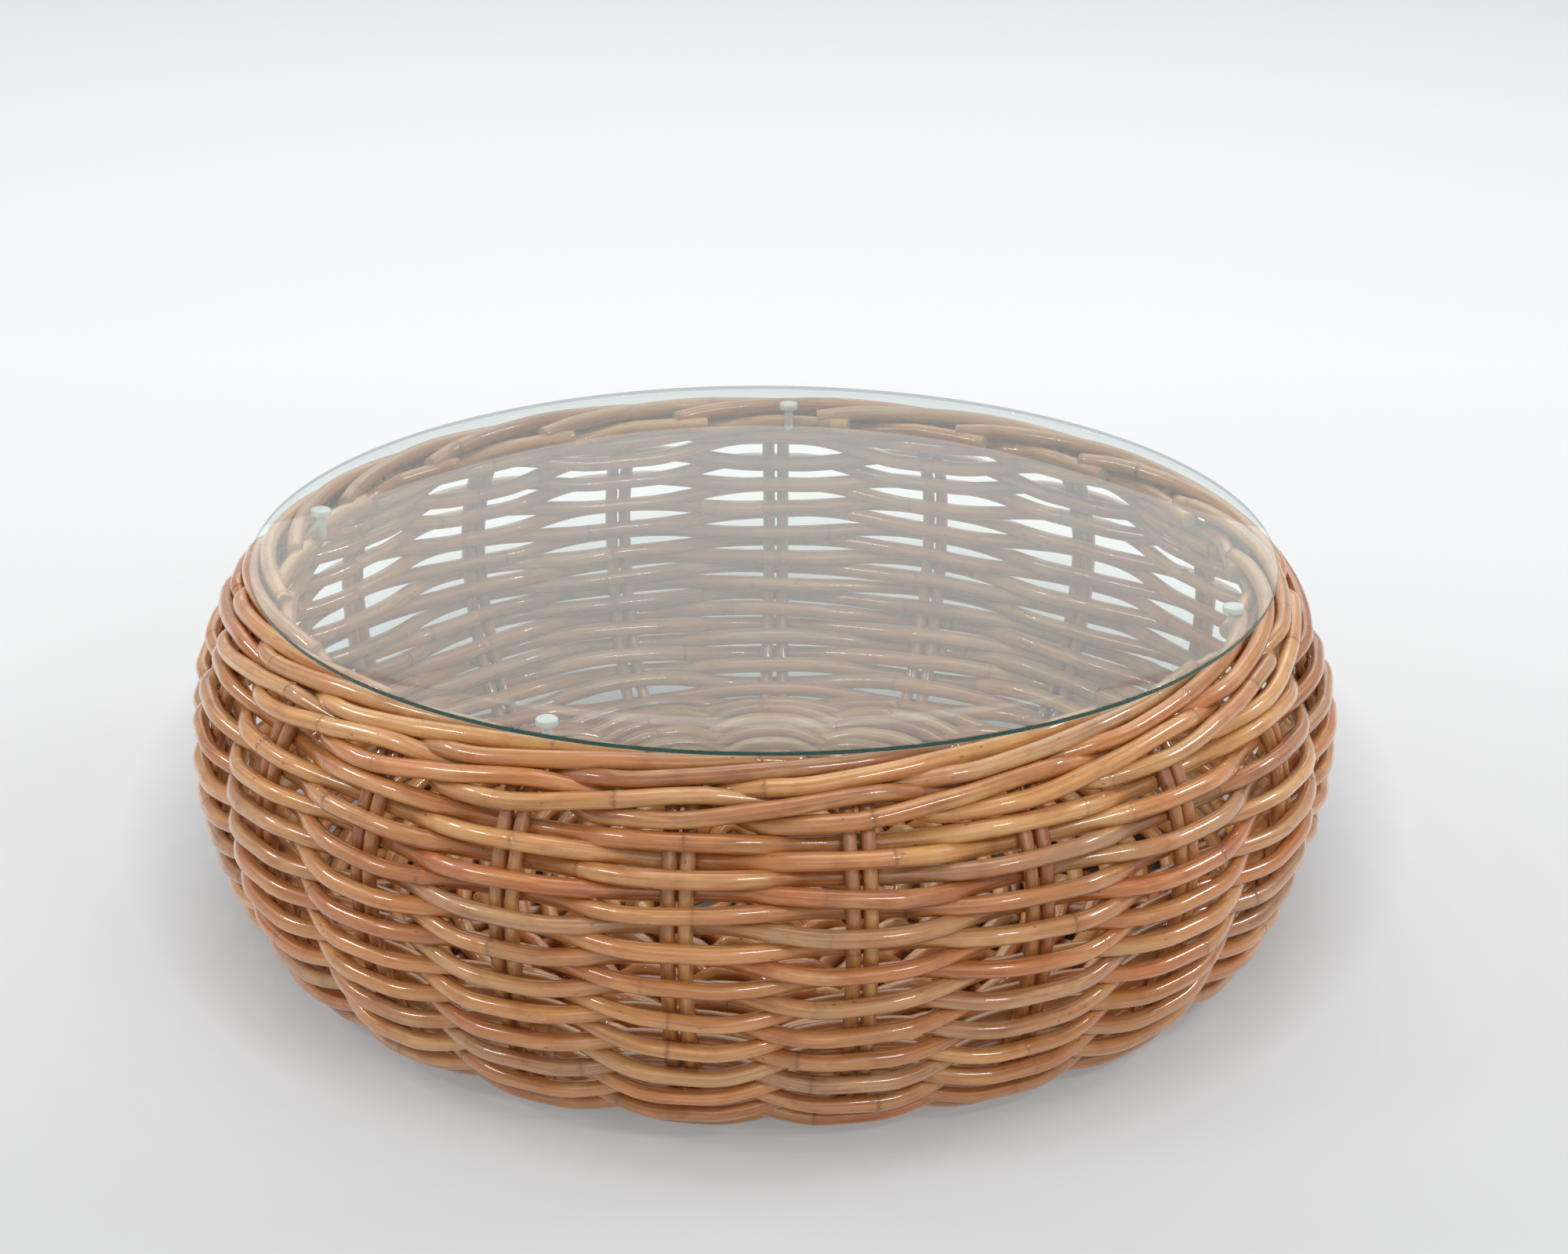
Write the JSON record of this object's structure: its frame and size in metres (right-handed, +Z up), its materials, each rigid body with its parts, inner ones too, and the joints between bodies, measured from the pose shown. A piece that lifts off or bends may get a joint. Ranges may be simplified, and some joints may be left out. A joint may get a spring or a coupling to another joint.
{
  "type": "coffee table",
  "caption": "Round woven cane coffee table: a bulging open-topped basket with a rolled border and a loose round clear glass top resting on small clear bumpers.",
  "frame": {"origin": "on the floor, under the middle of the basket", "axes": "+Z up, -Y towards the front of the picture, +X to the right"},
  "size_m": [0.9965, 0.9976, 0.3449],
  "materials": {
    "glass": "polished clear glass, grey-green at the edge",
    "bumper": "clear soft plastic",
    "border_cane": "gloss clear lacquer over cane",
    "wall_cane": "gloss clear lacquer over cane",
    "stake_cane": "gloss clear lacquer over cane",
    "base_cane": "gloss clear lacquer over cane"
  },
  "bodies": {
    "basket": {"bumper_front": "bumper", "bumper_right": "bumper", "bumper_back": "bumper", "bumper_left": "bumper", "border_upper_canes": "border_cane", "border_lower_canes": "border_cane", "wall_weaver_01": "wall_cane", "wall_weaver_02": "wall_cane", "wall_weaver_03": "wall_cane", "wall_weaver_04": "wall_cane", "wall_weaver_05": "wall_cane", "wall_weaver_06": "wall_cane", "wall_weaver_07": "wall_cane", "wall_weaver_08": "wall_cane", "wall_weaver_09": "wall_cane", "wall_weaver_10": "wall_cane", "wall_weaver_11": "wall_cane", "wall_weaver_12": "wall_cane", "wall_weaver_13": "wall_cane", "wall_weaver_14": "wall_cane", "wall_weaver_15": "wall_cane", "wall_weaver_16": "wall_cane", "wall_weaver_17": "wall_cane", "wall_weaver_18": "wall_cane", "wall_weaver_19": "wall_cane", "wall_weaver_20": "wall_cane", "wall_weaver_21": "wall_cane", "wall_weaver_22": "wall_cane", "stake_pair_01": "stake_cane", "stake_pair_02": "stake_cane", "stake_pair_03": "stake_cane", "stake_pair_04": "stake_cane", "stake_pair_05": "stake_cane", "stake_pair_06": "stake_cane", "stake_pair_07": "stake_cane", "stake_pair_08": "stake_cane", "stake_pair_09": "stake_cane", "stake_pair_10": "stake_cane", "stake_pair_11": "stake_cane", "stake_pair_12": "stake_cane", "stake_pair_13": "stake_cane", "stake_pair_14": "stake_cane", "stake_pair_15": "stake_cane", "stake_pair_16": "stake_cane", "stake_pair_17": "stake_cane", "stake_pair_18": "stake_cane", "stake_pair_19": "stake_cane", "stake_pair_20": "stake_cane", "base_weavers": "base_cane", "base_sticks_lower": "base_cane", "base_sticks_upper": "base_cane"},
    "glass": {"glass_top": "glass"}
  },
  "joints": [
    {"name": "glass_lift", "type": "slide", "parent": "basket", "child": "glass", "axis": [0, 0, 1], "range_m": [0, 0.4]}
  ]
}
